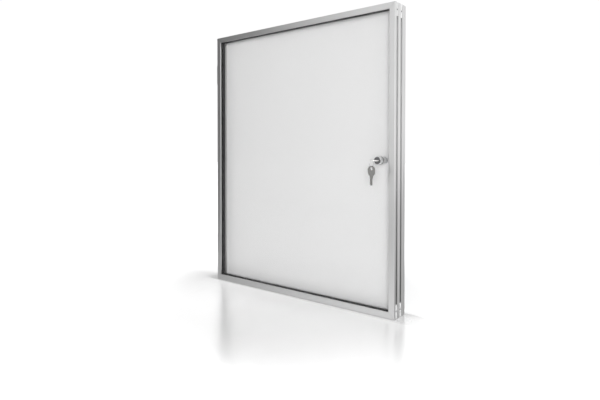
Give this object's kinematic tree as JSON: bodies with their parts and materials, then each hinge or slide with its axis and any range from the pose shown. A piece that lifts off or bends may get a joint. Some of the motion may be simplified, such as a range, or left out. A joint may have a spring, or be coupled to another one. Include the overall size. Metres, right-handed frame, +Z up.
{
  "type": "lockable notice board",
  "caption": "Wall-hung notice board: slotted aluminium case with a white magnetic panel, a glazed door hinged on its left, a cam lock, and keys on a ring.",
  "frame": {"origin": "on the flat rear face of the case's top rail, halfway along it, where the board meets the wall", "axes": "+Y into the wall, so the door faces -Y; +Z up; hinges at -X and lock at +X"},
  "size_m": [0.6236, 0.1021, 0.75],
  "materials": {
    "anodised": "satin silver anodised extrusion",
    "connector": "light grey moulded plastic",
    "rubber": "black rubber",
    "white_enamel": "smooth white enamel",
    "fibreboard": "plain fibreboard",
    "galvanised": "zinc plated steel",
    "hinge_steel": "satin steel",
    "chrome": "bright chrome",
    "key_steel": "nickel plated key",
    "pane": "clear, polished"
  },
  "bodies": {
    "case": {"case_rail_top": "anodised", "case_stile_right": "anodised", "case_rail_bottom": "anodised", "case_stile_left": "anodised", "case_corner_top_left": "connector", "case_corner_top_right": "connector", "case_corner_bottom_right": "connector", "case_corner_bottom_left": "connector", "case_seal": "rubber", "magnetic_sheet": "white_enamel", "core_board": "fibreboard", "rear_sheet": "galvanised", "hanger_left": "galvanised", "hanger_right": "galvanised", "hinge_case_leaf_lower": "hinge_steel", "hinge_pin_lower": "hinge_steel", "hinge_case_fixing_lower": "galvanised", "hinge_case_leaf_upper": "hinge_steel", "hinge_pin_upper": "hinge_steel", "hinge_case_fixing_upper": "galvanised"},
    "door": {"door_rail_top": "anodised", "door_stile_right": "anodised", "door_rail_bottom": "anodised", "door_stile_left": "anodised", "door_corner_top_left": "connector", "door_corner_top_right": "connector", "door_corner_bottom_right": "connector", "door_corner_bottom_left": "connector", "glazing_bead": "rubber", "clear_pane": "pane", "hinge_door_leaf_lower": "hinge_steel", "hinge_door_fixing_lower": "galvanised", "hinge_door_leaf_upper": "hinge_steel", "hinge_door_fixing_upper": "galvanised", "lock_barrel": "chrome", "lock_front_washer": "rubber", "lock_rear_washer": "rubber", "lock_nut": "chrome"},
    "plug": {"lock_plug": "chrome", "lock_cam": "galvanised", "cam_screw": "galvanised"},
    "key": {"key_in_lock": "key_steel"},
    "ring": {"key_ring": "chrome"},
    "spare": {"spare_key": "key_steel"}
  },
  "joints": [
    {"name": "door_swing", "type": "hinge", "parent": "case", "child": "door", "pos_m": [-0.312, -0.0337, -0.37], "axis": [0, 0, -1], "range_deg": [0, 170]},
    {"name": "plug_turn", "type": "hinge", "parent": "door", "child": "plug", "pos_m": [0.2672, -0.056, -0.3685], "axis": [0, 1, 0], "range_deg": [0, 180]},
    {"name": "key_pull", "type": "slide", "parent": "plug", "child": "key", "axis": [0, -1, 0], "range_m": [0, 0.018]},
    {"name": "ring_swing", "type": "hinge", "parent": "key", "child": "ring", "pos_m": [0.2672, -0.0925, -0.3685], "axis": [-1, 0, 0], "range_deg": [-10, 180]},
    {"name": "spare_swing", "type": "hinge", "parent": "ring", "child": "spare", "pos_m": [0.2672, -0.0925, -0.38399], "axis": [0, 1, 0], "range_deg": [-120, 120]}
  ]
}
